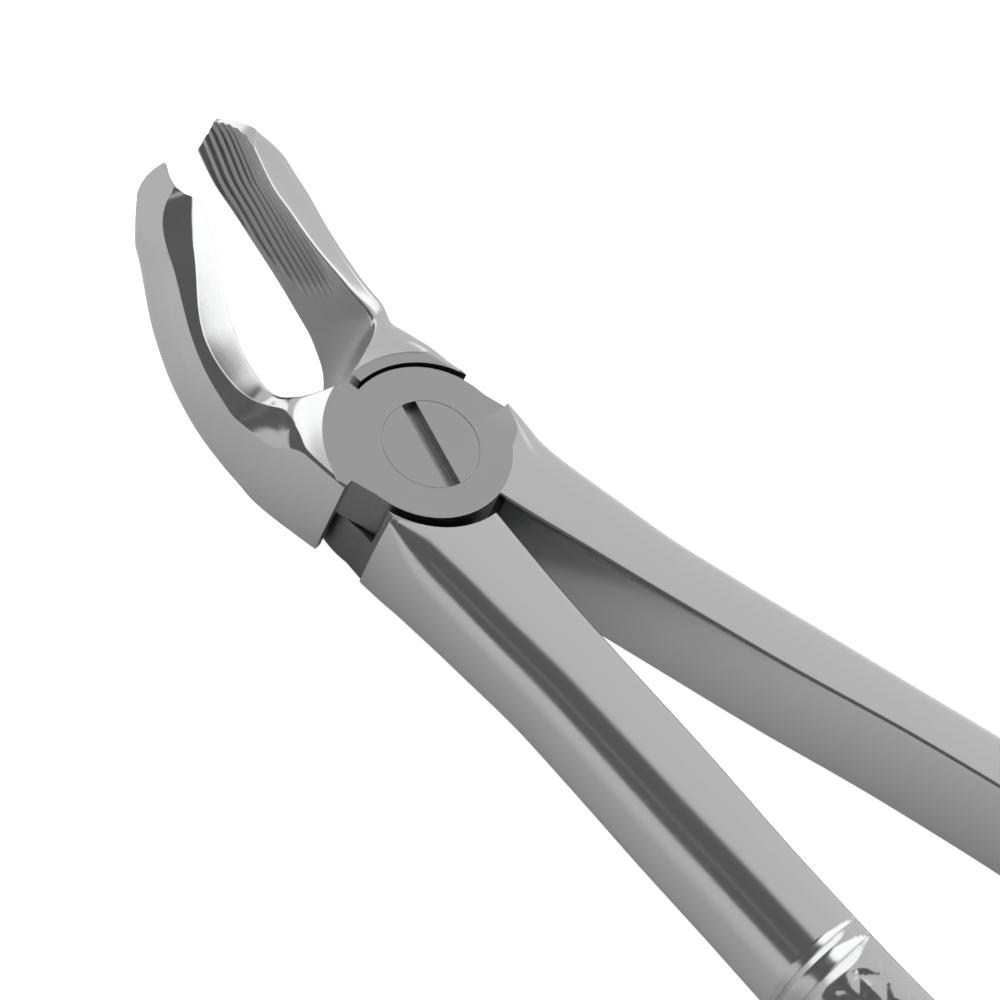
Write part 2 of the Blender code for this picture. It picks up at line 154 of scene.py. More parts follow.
# Handle stations, mm: x and y of the inner face, z of the middle, thickness, width, then the radii of the
# inner, the outer front and the outer back corners
HANDLE = (
    (-2.6, 0.35, 5.56, 8.6, 11.3, 0.3, 0.6, 0.5),
    (-6.0, 0.5, 5.5, 8.8, 11.15, 0.3, 2.6, 0.8),
    (-9.5, 1.1, 5.35, 8.5, 11.05, 0.35, 3.7, 1.2),
    (-16.0, 2.4, 5.15, 7.9, 11.0, 0.4, 4.0, 2.0),
    (-24.7, 4.0, 5.0, 7.3, 11.1, 0.4, 4.3, 2.6),
    (-36.3, 6.1, 5.0, 7.3, 11.4, 0.4, 4.7, 2.8),
    (-50.0, 8.9, 5.1, 6.9, 11.8, 0.4, 5.1, 3.0),
    (-66.0, 11.4, 5.1, 6.9, 12.2, 0.4, 5.2, 3.1),
    (-85.0, 13.1, 5.1, 7.1, 12.8, 0.4, 5.2, 3.2),
    (-105.0, 13.5, 5.2, 7.4, 13.2, 0.4, 5.2, 3.3),
    (-122.0, 12.8, 5.4, 7.4, 13.0, 0.5, 4.8, 3.3),
    (-133.0, 12.0, 5.5, 6.8, 12.0, 0.7, 4.2, 3.0),
    (-137.6, 11.8, 5.6, 5.8, 10.0, 1.0, 3.2, 2.4),
    (-140.0, 12.1, 5.6, 3.6, 6.4, 1.0, 1.9, 1.6),
)
HANDLE_BLUR = 1.2
HANDLE_TANGENT = 0.6
HANDLE_RINGS = 130
HANDLE_CROWN = 0.3
FRONT_CROWN = 0.12

# The pointed beak's outer front corner is a flat facet, at this tilt in degrees
FACET_TILT = 48.5

# Steps around a section: over half the inner face, an inner corner, the start of a side and all the rest.
# That start is a share of the side. Of the rest, shares go to the back with the outside and to the corner
BEAK_COUNTS = (40, 6, 2, 110)
HANDLE_COUNTS = (8, 5, 2, 150)
SIDE_START = 0.25
SIDES_SHARE = 0.5
CORNER_SHARE = 0.2

# The pointed beak's end: places beside (front edge positive) and ahead of a point short of the last
# station, at an inner level. The end is bevelled: across the beak it leans to the front and ahead. The
# cutter's own outline is this far beside and ahead, and reaches across the beak between two levels
CLAW = (
    (-8.2, -11.8), (-7.07, -9.33), (-5.88, -6.7), (-4.69, -4.28), (-3.8, -3.14),
    (-2.64, -2.06), (-1.24, -1.04), (0.27, -0.17), (0.49, -0.29), (0.42, -0.61),
    (0.3, -1.73), (0.55, -2.78), (1.45, -3.41), (3.01, -3.78), (8.0, -4.3),
)
CLAW_FROM_END = 1.06
CLAW_INNER = 3.0
CLAW_LEAN = (1.15, 0.94)
CLAW_BESIDE = (-12, 14)
CLAW_AHEAD = 12
CLAW_ACROSS = (0.5, 9)

# The broad beak's end: one arc and the corner behind it, in the same terms
NOSE_RADIUS = 5.5
NOSE_START = 97
NOSE_TOP = (-0.3, -0.5)
NOSE_BACK = (-3.8, -3.3)
NOSE_INNER = -4.0
NOSE_LEAN = (-0.25, -0.35)
NOSE_BESIDE = 10
NOSE_AHEAD = 8
NOSE_ACROSS = (-9, -1)

# Grip, mm: how far behind the pivot it is welded on. The end faces there are the ones near the seam with
# more than so many corners, facing along the handle
SEAM = 54.2
SEAM_REACH = 2
SEAM_WELD = 0.002
CAP_CORNERS = 100
CAP_FACING = 0.8
GRIP_STEP = 0.17

# Place behind the pivot and depth of the two ring cuts, then the cross-hatching, mm. On the front half both
# sit further back. Both begin a little way out from the inner face, over a distance and to a power
FRONT_SHIFT = 3.0
RINGS = ((55.7, 0.42), (57.55, 0.68))
RING_SLOPE = 0.62
RING_ONSET = (0.35, 3.0, 0.6)
HATCH_START = 58.9
HATCH_END = 131.0
HATCH_FADE = 0.8
HATCH_STEP = 3.4
HATCH_GIRTH = 2.9
HATCH_DEPTH = 0.38
HATCH_SLOPE = 0.88
HATCH_CREST = 2.2
HATCH_ONSET = (1.5, 2.0, 0.7)

# Serrations inside the broad beak, mm: they drift to the back behind the tip, end in an oval, set in
# sharply at its rim and stay off the beak's edges
SERRATION_LENGTH = 21.0
SERRATION_PITCH = 0.86
SERRATION_DEPTH = 0.07
SERRATION_CREST = 0.2
SERRATION_GIRTH = 1.02
SERRATION_RIM = 5
SERRATION_MARGIN = 0.15
SERRATION_EDGE = 0.2
SERRATION_DRIFT = (0.16, 5.0, 1.5)

# Faces that meet at more than this many degrees have a sharp edge between them
SHARP_ANGLE = 28

# Steel: base colours, then the fineness (per metre) and the range of the clouds that the gloss follows,
# and the depth of scratches and the radius of broken edges (metres)
POLISH = (0.42, 0.421, 0.424)
GROUND = (0.3, 0.301, 0.303)
SATIN = (0.285, 0.286, 0.288)
# The last colour is darkened to paint the shade on the walls of the joint's recesses, notches and holes
RECESS_SHADE_COLOUR = (0.14, 0.14, 0.142)
CLOUD_SCALE = 180.0
CLOUD_RANGE = (0.12, 0.42)
SCRATCH_DEPTH = 0.00001
EDGE_RADIUS = 0.0001

# Studio: brightness of the walls and the ceiling, and the heights (as sines) between which one becomes
# the other
WALL = 1.1
CEILING = 1.05
CEILING_START = 0.55
# Areas laid over them in turn, degrees: brightness; azimuth of the middle, half width and soft edge; the
# elevations over which it sets in, if it doesn't reach the ground; those over which it ends. They are a
# bank of lights past the handles' ends and its wing, a bank past the beaks, the dark room behind the
# camera and a rail across it
AREAS = (
    (2.4, (187, 33, 5), None, (40, 57)),
    (2.4, (238, 25, 6), (24, 28), (44, 56)),
    (2.2, (-7, 20, 8), None, (45, 60)),
    (0.2, (88, 62, 4), None, (57, 63)),
    (0.42, (70, 17, 8), (21.5, 23), (24.5, 26)),
)
# What the camera sees beyond the table; the table's size in mm, its shade, and its glow in the steel and
# to the camera
BACKDROP = 1.0
TABLE_REACH = 4000
TABLE_TOP = -1.6
TABLE_THICKNESS = 1.4
TABLE_SHADE = 0.88
TABLE_GLOW = 0.03
TABLE_SEEN = 0.9

# The photograph's view: the directions to the camera and to its right, 55 degrees above the joint's face,
# from the side of the pointed beak. The picture is FIELD metres across at the aim, which is right of and
# below the pivot
VIEW_FROM = Vector((-0.1358, 0.5572, 0.8192)).normalized()
VIEW_RIGHT = Vector((-0.7666, -0.5827, 0.2693)).normalized()
AIM_RIGHT = 0.0061
AIM_BELOW = 0.00496
FIELD = 0.0885
LENS = 200.0
SENSOR = 36.0
CLIP_START = 0.01


# ---------------------------------------------------------------- curves


def pchip(xs, ys, at):
    """Monotone cubic through the points: smooth, with no overshoot."""
    xs, ys, at = (np.asarray(v, float) for v in (xs, ys, at))
    h = np.diff(xs)
    d = np.diff(ys) / h
    m = np.zeros_like(ys)
    m[0], m[-1] = d[0], d[-1]
    for i in range(1, len(xs) - 1):
        if d[i - 1] * d[i] > 0:
            w1, w2 = 2 * h[i] + h[i - 1], h[i] + 2 * h[i - 1]
            m[i] = (w1 + w2) / (w1 / d[i - 1] + w2 / d[i])
    i = np.clip(np.searchsorted(xs, at) - 1, 0, len(h) - 1)
    t = (at - xs[i]) / h[i]
    return (
        ys[i] * (1 + 2 * t) * (1 - t) ** 2
        + h[i] * m[i] * t * (1 - t) ** 2
        + ys[i + 1] * t**2 * (3 - 2 * t)
        + h[i] * m[i + 1] * t**2 * (t - 1)
    )


def lengths_along(points):
    """How far along a polyline each of its points is."""
    return np.concatenate([[0], np.cumsum(np.linalg.norm(np.diff(points, axis=0), axis=1))])


def blurred(values, step, sigma):
    """Gaussian smoothing along a column, its ends carried on in a straight line."""
    reach = int(math.ceil(3 * sigma / step))
    kernel = np.exp(-0.5 * (np.arange(-reach, reach + 1) * step / sigma) ** 2)
    before = values[0] - (values[1:reach + 1] - values[0])[::-1]
    after = values[-1] - (values[-reach - 1:-1] - values[-1])[::-1]
    return np.convolve(np.concatenate([before, values, after]), kernel / kernel.sum(), "valid")


def smooth(value):
    """0 to 1 with a level start and end."""
    value = np.clip(value, 0, 1)
    return value * value * (3 - 2 * value)


class Stations:
    """A table of stations as smooth functions of the distance along the path of its first two columns."""

    def __init__(self, rows, blur, step=0.1):
        table = np.array(rows, float)
        where = lengths_along(table[:, :2])
        self.length = where[-1]
        self.at = np.arange(0, self.length + step / 2, step)
        unchanged_ends = 2.5 * blur
        inside = np.clip(np.minimum(self.at, self.length - self.at) / unchanged_ends, 0, 1)
        self.columns = []
        for column in table.T:
            fine = pchip(where, column, self.at)
            self.columns.append(fine + (blurred(fine, step, blur) - fine) * inside)

    def __call__(self, distance):
        return [np.interp(distance, self.at, column) for column in self.columns]

    def direction(self, distance, reach):
        """The path's unit direction in its own plane, taken over a reach to either side."""
        before = self(np.maximum(distance - reach, 0))
        after = self(np.minimum(distance + reach, self.length))
        run = np.stack([after[0] - before[0], after[1] - before[1]], axis=-1)
        return run / np.linalg.norm(run, axis=-1, keepdims=True)

    def distance_of_x(self, x):
        """How far along the path x is reached."""
        heading = np.sign(self.columns[0][-1] - self.columns[0][0])
        return float(np.interp(x * heading, self.columns[0] * heading, self.at))


# ---------------------------------------------------------------- sections


def arc(centre, radius, start, end, steps):
    """Points of an arc, from one angle in degrees to another."""
    angles = np.radians(np.linspace(start, end, steps + 1))
    return np.stack([centre[0] + radius * np.cos(angles), centre[1] + radius * np.sin(angles)], axis=1)


def resampled(points, steps):
    """The polyline's own length divided into equal steps."""
    lengths = lengths_along(points)
    wanted = np.linspace(0, lengths[-1], steps + 1)
    return np.stack([np.interp(wanted, lengths, points[:, k]) for k in (0, 1)], axis=1)


def outline(thickness, width, radii, shape, counts):
    """A closed section as (out, up) points, anticlockwise seen with out to the right.

    It runs from the middle of the inner face to its back corner, along the back, the outside and the front,
    and home. shape holds the hollow of the inner face, the crown of the outside, the crown of the front and
    whether the outer front corner is a flat facet."""
    half = width / 2
    inner, front, back = radii
    hollow, crown, front_crown, faceted = shape
    n_face, n_corner, n_start, n_outer = counts
    coarse, fine = 12, 24

    def bulge(points):
        a, b = points[:, 0], points[:, 1]
        out = np.clip(a / thickness, 0, 1)
        up = np.clip(b / half, -1, 1)
        middle = 1 - up**2
        side = 1 - (2 * out - 1) ** 2
        lift = front_crown * side * up
        return np.stack([a + middle * (hollow * (1 - out) + crown * out), b + lift], axis=1)

    start_back = inner + SIDE_START * (thickness - inner - back)
    start_front = inner + SIDE_START * (thickness - inner - front)
    face_down = np.linspace((0.0, 0.0), (0.0, -half + inner), n_face + 1)
    corner_back = arc((inner, -half + inner), inner, 180, 270, n_corner)
    lead_back = np.linspace((inner, -half), (start_back, -half), n_start + 1)
    if faceted:
        tilt = math.radians(FACET_TILT)
        run = front / math.cos(math.pi / 4)
        low, high = (thickness, half - run * math.sin(tilt)), (thickness - run * math.cos(tilt), half)
        corner = np.linspace(low, high, fine + 1)
    else:
        corner = arc((thickness - front, half - front), front, 0, 90, fine)
    sides = np.concatenate(
        [
            np.linspace((start_back, -half), (thickness - back, -half), coarse)[:-1],
            arc((thickness - back, -half + back), back, 270, 360, fine)[:-1],
            np.linspace((thickness, -half + back), corner[0], fine),
        ]
    )
    front_side = np.linspace(corner[-1], (start_front, half), coarse)
    n_sides, n_tip = int(SIDES_SHARE * n_outer), int(CORNER_SHARE * n_outer)
    outside = [resampled(bulge(sides), n_sides)[:-1], resampled(bulge(corner), n_tip)[:-1]]
    outside.append(resampled(bulge(front_side), n_outer - n_sides - n_tip)[:-1])
    lead_front = np.linspace((start_front, half), (inner, half), n_start + 1)
    corner_front = arc((inner, half - inner), inner, 90, 180, n_corner)
    face_up = np.linspace((0.0, half - inner), (0.0, 0.0), n_face + 1)
    parts = [bulge(face_down)[:-1], bulge(corner_back)[:-1], bulge(lead_back)[:-1], *outside]
    parts += [bulge(lead_front)[:-1], bulge(corner_front)[:-1], bulge(face_up)[:-1]]
    return np.concatenate(parts)


# ---------------------------------------------------------------- materials


def add_node(tree, kind, values, links=None):
    """A shader node with the values of some inputs and the sockets that feed others."""
    node = tree.nodes.new(kind)
    for key, value in values.items():
        node.inputs[key].default_value = value
    for key, socket in (links or {}).items():
        tree.links.new(socket, node.inputs[key])
    return node


def steel(name, roughness, spread, colour, scratch_scale, bump, broken_edges=True):
    """Stainless steel: a gloss that varies a little, faint scratches and, if wanted, broken edges."""
    material = bpy.data.materials.new(name)
    material.use_nodes = True
    tree = material.node_tree
    place = add_node(tree, "ShaderNodeTexCoord", {}).outputs["Object"]
    stretch = add_node(tree, "ShaderNodeMapping", {"Scale": scratch_scale}, {"Vector": place})
    finer = {"Vector": stretch.outputs["Vector"]}
    grain = add_node(tree, "ShaderNodeTexNoise", {"Scale": 1.0, "Detail": 4.0}, finer)
    cloud = add_node(tree, "ShaderNodeTexNoise", {"Scale": CLOUD_SCALE, "Detail": 3.0}, {"Vector": place})
    both = add_node(tree, "ShaderNodeMath", {}, {0: grain.outputs["Fac"], 1: cloud.outputs["Fac"]})
    both.operation = "MULTIPLY"
    limits = {"From Min": CLOUD_RANGE[0], "From Max": CLOUD_RANGE[1]}
    limits |= {"To Min": roughness - spread, "To Max": roughness + spread}
    gloss = add_node(tree, "ShaderNodeMapRange", limits, {"Value": both.outputs["Value"]})
    heights = {"Strength": bump, "Distance": SCRATCH_DEPTH}
    scratches = add_node(tree, "ShaderNodeBump", heights, {"Height": grain.outputs["Fac"]})
    if broken_edges:
        edge = add_node(tree, "ShaderNodeBevel", {"Radius": EDGE_RADIUS})
        edge.samples = 4
        tree.links.new(edge.outputs["Normal"], scratches.inputs["Normal"])
    shader = tree.nodes["Principled BSDF"]
    shader.inputs["Base Color"].default_value = (*colour, 1)
    shader.inputs["Metallic"].default_value = 1.0
    tree.links.new(gloss.outputs["Result"], shader.inputs["Roughness"])
    tree.links.new(scratches.outputs["Normal"], shader.inputs["Normal"])
    return material


# Every mesh carries all the finishes, because a Boolean hands on a face's finish only then. A face is
# polished unless it is given another place in this list
FINISHES = [
    steel("polished_steel", 0.19, 0.03, POLISH, (500, 4000, 4000), 0.12),
    steel("ground_steel", 0.3, 0.03, GROUND, (6000, 6000, 6000), 0.03, broken_edges=False),
    steel("satin_steel", 0.34, 0.04, SATIN, (2500, 2500, 2500), 0.25),
    # Rougher steel whose colour is darkened to paint the shade on the walls of the joint's recesses, notches
    # and holes
    steel("rough_steel_painted_shade", 0.42, 0.05, RECESS_SHADE_COLOUR, (1500, 1500, 1500), 0.4),
]
# The last index is the painted shade on the recess, notch and hole walls
MATTE, MILLED, PAINTED_SHADE = 1, 2, 3


# ---------------------------------------------------------------- meshes


def mesh_object(name, points, faces):
    """An object with all the finishes, from points in metres and faces in any order of corners."""
    mesh = bpy.data.meshes.new(name)
    mesh.from_pydata(np.asarray(points).tolist(), [], faces)
    for material in FINISHES:
        mesh.materials.append(material)
    mesh.validate()
    bm = bmesh.new()
    bm.from_mesh(mesh)
    bmesh.ops.recalc_face_normals(bm, faces=bm.faces)
    bm.to_mesh(mesh)
    bm.free()
    obj = bpy.data.objects.new(name, mesh)
    bpy.context.scene.collection.objects.link(obj)
    return obj


def lofted(name, rings):
    """Rings (count, points, 3) in mm, skinned with quads and closed with flat caps."""
    count, around = rings.shape[:2]
    index = np.arange(count * around).reshape(count, around)
    following = np.roll(index, -1, 1)
    quads = np.stack([index[:-1], following[:-1], following[1:], index[1:]], axis=-1)
    faces = quads.reshape(-1, 4).tolist() + [index[0].tolist(), index[-1].tolist()[::-1]]
    return mesh_object(name, rings.reshape(-1, 3) * MM, faces)


def turned(name, profile, segments=192, matrix=Matrix()):
    """A closed (radius, height) profile in mm, spun about the matrix's Z. Radius 0 is allowed."""
    angles = np.linspace(0, 2 * math.pi, segments, endpoint=False)
    points, columns = [], []
    for radius, height in profile:
        if radius < 1e-9:
            columns.append([len(points)] * segments)
            points.append((0, 0, height))
        else:
            columns.append(list(range(len(points), len(points) + segments)))
            points += [(radius * math.cos(a), radius * math.sin(a), height) for a in angles]
    faces = []
    for near, far in zip(columns, columns[1:] + columns[:1]):
        for k in range(segments):
            corners = [near[k], near[(k + 1) % segments], far[(k + 1) % segments], far[k]]
            face = list(dict.fromkeys(corners))
            if len(face) > 2:
                faces.append(face)
    placed = [tuple(matrix @ Vector(p)) for p in points]
    return mesh_object(name, np.array(placed) * MM, faces)


def prism(name, points, bottom, top, matrix=Matrix()):
    """An outline in mm, between two heights of the matrix's Z."""
    n = len(points)
    verts = [tuple(matrix @ Vector((x, y, z))) for z in (bottom, top) for x, y in points]
    faces = [list(range(n))[::-1], list(range(n, 2 * n))]
    faces += [[k, (k + 1) % n, n + (k + 1) % n, n + k] for k in range(n)]
    return mesh_object(name, np.array(verts) * MM, faces)


def combine(obj, *steps):
    """Applies Booleans in order: each step is an operation and the object it uses up."""
    for operation, other in steps:
        modifier = obj.modifiers.new("cut", "BOOLEAN")
        modifier.operation = operation
        modifier.solver = "EXACT"
        modifier.object = other
    graph = bpy.context.evaluated_depsgraph_get()
    mesh = bpy.data.meshes.new_from_object(obj.evaluated_get(graph))
    obj.modifiers.clear()
    old = obj.data
    obj.data = mesh
    bpy.data.meshes.remove(old)
    for _, other in steps:
        bpy.data.objects.remove(other)
    return obj


# ---------------------------------------------------------------- beaks and handles

pointed = Stations(POINTED_BEAK, BEAK_BLUR)
broad = Stations(BROAD_BEAK, BEAK_BLUR)
handle = Stations(HANDLE, HANDLE_BLUR)


def onset(values, start, run, power):
    """0 up to the start, then up to 1 over the run."""
    return np.clip((values - start) / run, 0, 1) ** power


def serrated(section, half, to_tip):
    """Lengthwise grooves in the inner face, run out in an oval behind the tip."""
    out, up = section[:, 0], section[:, 1]
    side = np.clip(np.abs(up) / (half * SERRATION_GIRTH), 0, 1)
    oval = 1 - (to_tip / SERRATION_LENGTH) ** 2 - side**4
    on_face = BEAK_COUNTS[0]
    inside = np.zeros(len(out))
    inside[:on_face] = inside[-on_face + 1:] = 1
    clear = np.clip((half - SERRATION_MARGIN - np.abs(up)) / SERRATION_EDGE, 0, 1)
    depth = np.clip(oval * SERRATION_RIM, 0, 1) * inside * clear
    drift, over, power = SERRATION_DRIFT
    phase = up / SERRATION_PITCH + drift * (to_tip / over) ** power
    groove = 0.5 - 0.5 * np.cos(2 * np.pi * phase)
    return np.stack([out + SERRATION_DEPTH * depth * (groove * 2 - SERRATION_CREST), up], axis=1)


def root_rise(ring, x, up, width, side):
    """How far the front of a beak's root climbs, at each point of a section whose middle is at x."""
    start, run, height = ROOT_RAMP[side]
    near, far = ROOT_FADE[side]
    away = np.clip((np.hypot(ring[:, 0], ring[:, 1]) - start) / run, 0, 1)
    fade = smooth((far - x) / (far - near)) * smooth(up / (ROOT_ONSET * width))
    return height * ((1 + RAMP_EASE) * away - RAMP_EASE * away**4) * fade


def beak_rings(stations, side, distances):
    """A beak's sections in place, square to its path, with the front's slant and the root's rise."""
    x, z, *values = stations(distances)
    run = stations.direction(distances, BEAK_TANGENT)
    rings = []
    for k in range(len(distances)):
        inner, thickness, width, hollow, *radii = (float(v[k]) for v in values)
        crown = BEAK_CROWN * min(1.0, max(0.0, (x[k] - CROWN_START) / CROWN_RUN))
        shape = (hollow, OUTSIDE_CROWN * hollow, crown, side == POINTED)
        section = outline(thickness, width, radii, shape, BEAK_COUNTS)
        if side == BROAD:
            section = serrated(section, width / 2, stations.length - distances[k])
        out, up = section[:, 0], section[:, 1]
        from_pivot = np.hypot(x[k] - run[k, 1] * up, inner + out)
        lean = smooth((from_pivot - SLANT_START) / SLANT_RUN)
        lean *= BEAK_SLANT[side] * np.clip(SLANT_ONSET * up / width, 0, 1)
        up = up - lean * np.minimum(out, thickness - radii[1])
        ring = np.stack([x[k] - run[k, 1] * up, side * (inner + out), z[k] + run[k, 0] * up], axis=1)
        ring[:, 2] += root_rise(ring, x[k], up, width, side)
        rings.append(ring)
    return np.array(rings)


def cut_depth(section, behind):
    """How deep the ring cuts and the cross-hatching are, at a distance behind the pivot."""
    out, up = section[:, 0], section[:, 1]
    depth = np.zeros_like(out)
    for place, deep in RINGS:
        depth = np.maximum(depth, deep * onset(out, *RING_ONSET) - RING_SLOPE * abs(behind - place))
    if HATCH_START < behind < HATCH_END:
        ends = min(1.0, (behind - HATCH_START) / HATCH_FADE, (HATCH_END - behind) / HATCH_FADE)
        girth = lengths_along(section)
        in_front = up >= 0
        crest = np.argmin(np.where(in_front, np.abs(out - HATCH_CREST), np.inf))
        deep = HATCH_DEPTH * onset(out, *HATCH_ONSET) * ends
        for lean in (-1, 1):
            phase = behind / HATCH_STEP + lean * (girth - girth[crest]) / HATCH_GIRTH
            depth = np.maximum(depth, deep - HATCH_SLOPE * np.abs(phase - np.round(phase)))
    return np.maximum(depth, 0)


def handle_rings(side, distances):
    """A handle's sections in place, with the grip's cuts behind the seam. side is the handle's own."""
    x, y, z, *values = handle(distances)
    run = handle.direction(distances, HANDLE_TANGENT)
    shift = FRONT_SHIFT if side == -POINTED else 0.0
    rings = []
    for k in range(len(distances)):
        thickness, width, *radii = (float(v[k]) for v in values)
        shape = (0.0, HANDLE_CROWN, FRONT_CROWN, False)
        section = outline(thickness, width, radii, shape, HANDLE_COUNTS)
        if -x[k] > SEAM:
            along = np.roll(section, -1, 0) - np.roll(section, 1, 0)
            along /= np.linalg.norm(along, axis=1, keepdims=True)
            inward = np.stack([-along[:, 1], along[:, 0]], axis=1)
            section = section + inward * cut_depth(section, -float(x[k]) - shift)[:, None]
        out, up = section[:, 0], section[:, 1]
        ring = [x[k] + run[k, 1] * out, side * (y[k] - run[k, 0] * out), z[k] + up]
        rings.append(np.stack(ring, axis=1))
    return np.array(rings)


def beak(name, stations, side):
    """A beak from its root inside the plate to its last station, the inside of the broad one ground."""
    steps = int(round(stations.length / BEAK_STEP))
    obj = lofted(name, beak_rings(stations, side, np.linspace(0, stations.length, steps + 1)))
    if side == BROAD:
        inside = BEAK_COUNTS[0]
        around = len(obj.data.vertices) // (steps + 1)
        for face in obj.data.polygons:
            places = [v % around for v in face.vertices]
            if len(places) == 4 and all(p <= inside or p >= around - inside for p in places):
                face.material_index = MATTE
    return obj


def near_handle(name, side):
    """A handle from inside the plate to the seam."""
    seam = handle.distance_of_x(-SEAM)
    return lofted(name, handle_rings(side, np.linspace(0, seam, HANDLE_RINGS)))


def grip(name, side):
    """A handle from the seam to its end, in sections close enough for its cuts."""
    seam = handle.distance_of_x(-SEAM)
    steps = int(round((handle.length - seam) / GRIP_STEP))
    return lofted(name, handle_rings(side, np.linspace(seam, handle.length, steps + 1)))


def add_grip(half, side):
    """Welds the grip on at the seam, in place of the two end faces there."""
    tail = grip("grip", side)
    bm = bmesh.new()
    bm.from_mesh(half.data)
    bm.from_mesh(tail.data)
    bpy.data.objects.remove(tail)
    seam, reach = -SEAM * MM, SEAM_REACH * MM
    caps = [face for face in bm.faces if len(face.verts) > CAP_CORNERS]
    caps = [face for face in caps if abs(face.normal.x) > CAP_FACING]
    caps = [face for face in caps if abs(face.calc_center_median().x - seam) < reach]
    bmesh.ops.delete(bm, geom=caps, context="FACES_ONLY")
    near = [v for v in bm.verts if abs(v.co.x - seam) < reach]
    bmesh.ops.remove_doubles(bm, verts=near, dist=SEAM_WELD * MM)
    bm.to_mesh(half.data)
    bm.free()
    return half


# ---------------------------------------------------------------- the three pieces


def finished(obj, finish):
    """The same object with all its faces given one finish, which a Boolean hands on."""
    for face in obj.data.polygons:
        face.material_index = finish
    return obj


def disc(name, radius, bottom, top, finish, centre_x=0.0):
    """A round blank or cutter, upright at a place on X: about the pivot's axis unless told otherwise."""
    place = Matrix.Translation((centre_x, 0, 0))
    profile = [(0, bottom), (radius, bottom), (radius, top), (0, top)]
    return finished(turned(name, profile, matrix=place), finish)


def gusset(name, plate_radius, reach, side, end):
    """The corner between a plate and its beak (end 1) or its handle (end -1), filled out to a reach."""
    plate = plate_radius - GUSSET_INSET
    corners = [(GUSSET_START, plate), (GUSSET_START, 0), (GUSSET_END, 0), (GUSSET_END, reach)]
    corners = [(end * x, end * side * y) for x, y in corners]
    # Its walls get the darkened steel: painted shade in the corner
    return finished(prism(name, corners, -STOCK, FACE_Z + STOCK), PAINTED_SHADE)


def tip_matrix(stations, from_end, level, lean):
    """Frame near a beak's end: X to its front edge, Y ahead, Z across it, sheared about a level of Z."""
    distance = stations.length - from_end
    x, z, *_ = stations(distance)
    forward_x, forward_z = stations.direction(np.array([distance]), BEAK_TANGENT)[0]
    forward = Vector((forward_x, 0, forward_z))
    upward = Vector((-forward_z, 0, forward_x))
    matrix = Matrix((upward, forward, upward.cross(forward))).transposed().to_4x4()
    matrix.translation = Vector((x, 0, z))
    beside, ahead = lean
    shear = Matrix(
        ((1, 0, beside, -beside * level), (0, 1, ahead, -ahead * level), (0, 0, 1, 0), (0, 0, 0, 1))
    )
    return matrix @ shear


def claw_surround():
    """All that is past the pointed beak's scalloped end."""
    left, right = CLAW_BESIDE
    points = [(left, CLAW[0][1]), *CLAW, (right, CLAW[-1][1]), (right, CLAW_AHEAD), (left, CLAW_AHEAD)]
    return prism("claw", points, *CLAW_ACROSS, tip_matrix(pointed, CLAW_FROM_END, CLAW_INNER, CLAW_LEAN))


def nose_surround():
    """All that is past the broad beak's rounded end."""
    centre = (NOSE_TOP[0], NOSE_TOP[1] - NOSE_RADIUS)
    nose = arc(centre, NOSE_RADIUS, NOSE_START, 0, 32).tolist()
    points = [NOSE_BACK, *nose, (NOSE_BESIDE, nose[-1][1]), (NOSE_BESIDE, NOSE_AHEAD)]
    points += [(-NOSE_BESIDE, NOSE_AHEAD), (-NOSE_BESIDE, NOSE_BACK[1])]
    return prism("nose", points, *NOSE_ACROSS, tip_matrix(broad, 0.0, NOSE_INNER, NOSE_LEAN))


def forging(name, stations, side, plate_radius, gussets, face_radius):
    """A half without its grip: plate, beak, handle and the milled faces on both sides of the joint."""
    # The plate's sides keep the darkened steel: painted shade in the recess around them
    half = disc(name, plate_radius, -STOCK, FACE_Z + STOCK, PAINTED_SHADE, PLATE_SHIFT)
    return combine(
        half,
        ("UNION", beak("beak", stations, side)),
        ("UNION", near_handle("handle", -side)),
        ("UNION", gusset("beak_gusset", plate_radius, gussets[0], side, 1)),
        ("UNION", gusset("handle_gusset", plate_radius, gussets[1], side, -1)),
        ("DIFFERENCE", disc("mill_front", face_radius, FACE_Z, FACE_Z + MILLING_REACH, MILLED)),
        ("DIFFERENCE", disc("mill_back", face_radius, -MILLING_REACH, 0, MILLED)),
    )


def build_front():
    """The half with the pointed beak, the front plate, the shank's hole and the seat of the screw's head."""
    plate, face = FRONT_PLATE_RADIUS, FRONT_FACE_RADIUS
    half = forging("front_half_visual", pointed, POINTED, plate, FRONT_GUSSETS, face)
    recess = REAR_PLATE_RADIUS + RECESS_MARGIN
    around, under = HEAD_PLAY
    seat = FACE_Z - HEAD_THICKNESS - under
    combine(
        half,
        ("DIFFERENCE", claw_surround()),
        # The walls of the recess, the hole and the seat get the darkened steel: painted shade
        ("DIFFERENCE", disc("recess", recess, BELOW_ALL, LAP_Z + LAP_CLEARANCE, PAINTED_SHADE)),
        ("DIFFERENCE", disc("hole", SHANK_RADIUS + SHANK_PLAY, 0, ABOVE_ALL, PAINTED_SHADE)),
        ("DIFFERENCE", disc("seat", HEAD_RADIUS + around, seat, ABOVE_ALL, PAINTED_SHADE)),
    )
    return add_grip(half, -POINTED)


def build_rear():
    """The half with the broad beak, the rear plate and the hole for the screw's end."""
    plate, face = REAR_PLATE_RADIUS, REAR_FACE_RADIUS
    half = forging("rear_half_visual", broad, BROAD, plate, REAR_GUSSETS, face)
    recess = FRONT_PLATE_RADIUS + RECESS_MARGIN
    hole = SCREW_END_RADIUS + SCREW_END_PLAY
    combine(
        half,
        ("DIFFERENCE", nose_surround()),
        # The walls of the recess and the hole get the darkened steel: painted shade
        ("DIFFERENCE", disc("recess", recess, LAP_Z - LAP_CLEARANCE, ABOVE_ALL, PAINTED_SHADE)),
        ("DIFFERENCE", disc("hole", hole, -MILLING_REACH, ABOVE_ALL, PAINTED_SHADE)),
    )
    return add_grip(half, -BROAD)


